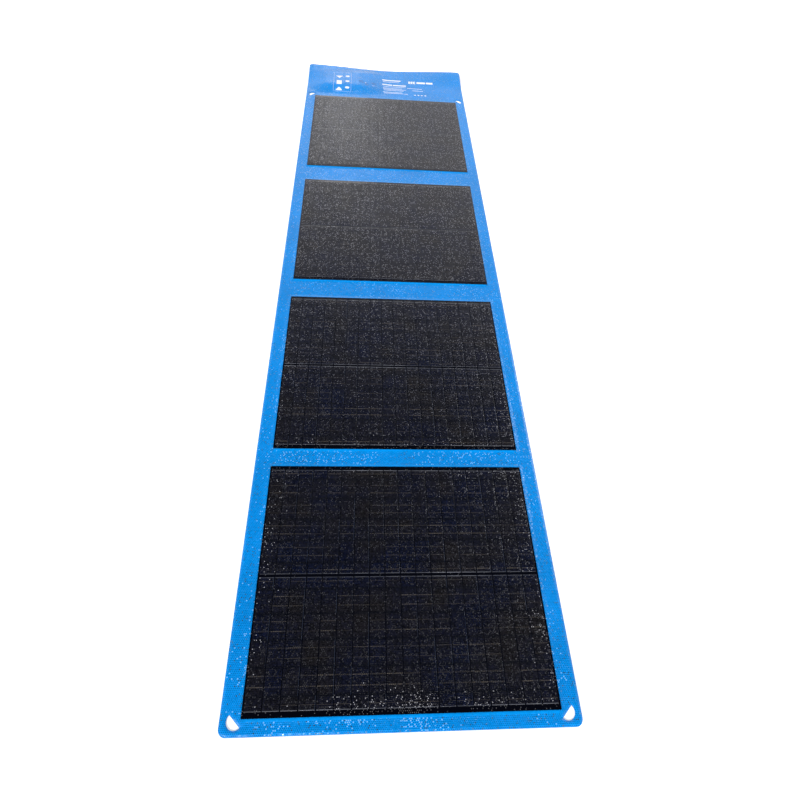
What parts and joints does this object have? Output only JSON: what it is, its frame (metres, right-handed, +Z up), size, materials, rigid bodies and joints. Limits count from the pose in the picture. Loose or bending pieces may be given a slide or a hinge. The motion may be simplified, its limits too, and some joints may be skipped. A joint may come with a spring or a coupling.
{
  "type": "folding solar blanket",
  "caption": "Flexible solar panels in a row on a blue fabric blanket that folds between them, with punched corner holes and a header flap over a flat power box.",
  "frame": {"origin": "centre of the footprint, on the ground under the back cover", "axes": "+Y along the blanket's length towards the header flap, +Z up out of the cell side, +X to the right seen from the near end"},
  "size_m": [0.435, 1.6456, 0.0098],
  "materials": {
    "carrier_fabric": "blue coated fabric under a clear film embossed with fine raised dots, glossy",
    "backing_fabric": "black woven polyester, matt",
    "laminate_board": "thin black glass-fibre laminate",
    "solar_cell": "dark blue-black silicon with fine printed lines",
    "front_film": "clear polymer film embossed with fine dots, over black cells",
    "copper_lead": "tinned flat copper",
    "box_plastic": "moulded, fine texture",
    "rubber": "moulded, matt",
    "circuit_laminate": "green solder mask",
    "component_plastic": "moulded epoxy",
    "socket_plastic": "moulded nylon",
    "steel": "plated"
  },
  "bodies": {
    "panel_1_section": {"panel_1_back_cover": "backing_fabric", "panel_1_positive_lead": "copper_lead", "panel_1_negative_lead": "copper_lead", "panel_1_carrier": "carrier_fabric", "panel_1_board": "laminate_board", "panel_1_upper_cells": "solar_cell", "panel_1_lower_cells": "solar_cell", "panel_1_link_ribbon": "copper_lead", "panel_1_front_film": "front_film"},
    "panel_2_section": {"panel_2_back_cover": "backing_fabric", "panel_2_positive_lead": "copper_lead", "panel_2_negative_lead": "copper_lead", "panel_2_carrier": "carrier_fabric", "panel_2_board": "laminate_board", "panel_2_upper_cells": "solar_cell", "panel_2_lower_cells": "solar_cell", "panel_2_link_ribbon": "copper_lead", "panel_2_front_film": "front_film"},
    "panel_3_section": {"panel_3_back_cover": "backing_fabric", "panel_3_positive_lead": "copper_lead", "panel_3_negative_lead": "copper_lead", "panel_3_carrier": "carrier_fabric", "panel_3_board": "laminate_board", "panel_3_upper_cells": "solar_cell", "panel_3_lower_cells": "solar_cell", "panel_3_link_ribbon": "copper_lead", "panel_3_front_film": "front_film"},
    "panel_4_section": {"panel_4_back_cover": "backing_fabric", "panel_4_positive_lead": "copper_lead", "panel_4_negative_lead": "copper_lead", "panel_4_carrier": "carrier_fabric", "panel_4_board": "laminate_board", "panel_4_upper_cells": "solar_cell", "panel_4_lower_cells": "solar_cell", "panel_4_link_ribbon": "copper_lead", "panel_4_front_film": "front_film"},
    "header_flap": {"header_sheet": "carrier_fabric", "header_back_cover": "backing_fabric", "header_positive_lead": "copper_lead", "header_negative_lead": "copper_lead", "power_box_base": "box_plastic", "power_box_lid": "box_plastic", "box_seal": "rubber", "circuit_board": "circuit_laminate", "blocking_diode_1": "component_plastic", "blocking_diode_2": "component_plastic", "blocking_diode_3": "component_plastic", "blocking_diode_4": "component_plastic", "converter_coil": "component_plastic", "converter_chip": "component_plastic", "power_socket": "socket_plastic", "usb_c_socket": "steel", "box_screw_1": "steel", "box_screw_2": "steel", "box_screw_3": "steel", "box_screw_4": "steel"},
    "port_cover": {"port_cover": "rubber"}
  },
  "joints": [
    {"name": "fold_1_2", "type": "hinge", "parent": "panel_1_section", "child": "panel_2_section", "pos_m": [0, 0.29585, 0.01], "axis": [-1, 0, 0], "range_deg": [0, 180]},
    {"name": "fold_2_3", "type": "hinge", "parent": "panel_2_section", "child": "panel_3_section", "pos_m": [0, -0.08795, 0.00735], "axis": [-1, 0, 0], "range_deg": [0, 180]},
    {"name": "fold_3_4", "type": "hinge", "parent": "panel_3_section", "child": "panel_4_section", "pos_m": [0, -0.45855, 0.0047], "axis": [-1, 0, 0], "range_deg": [0, 180]},
    {"name": "header_fold", "type": "hinge", "parent": "panel_1_section", "child": "header_flap", "pos_m": [0, 0.68785, 0.0158], "axis": [1, 0, 0], "range_deg": [0, 180]},
    {"name": "port_cover_hinge", "type": "hinge", "parent": "header_flap", "child": "port_cover", "pos_m": [-0.12, 0.7779, 0.00135], "axis": [-1, 0, 0], "range_deg": [0, 110]}
  ]
}
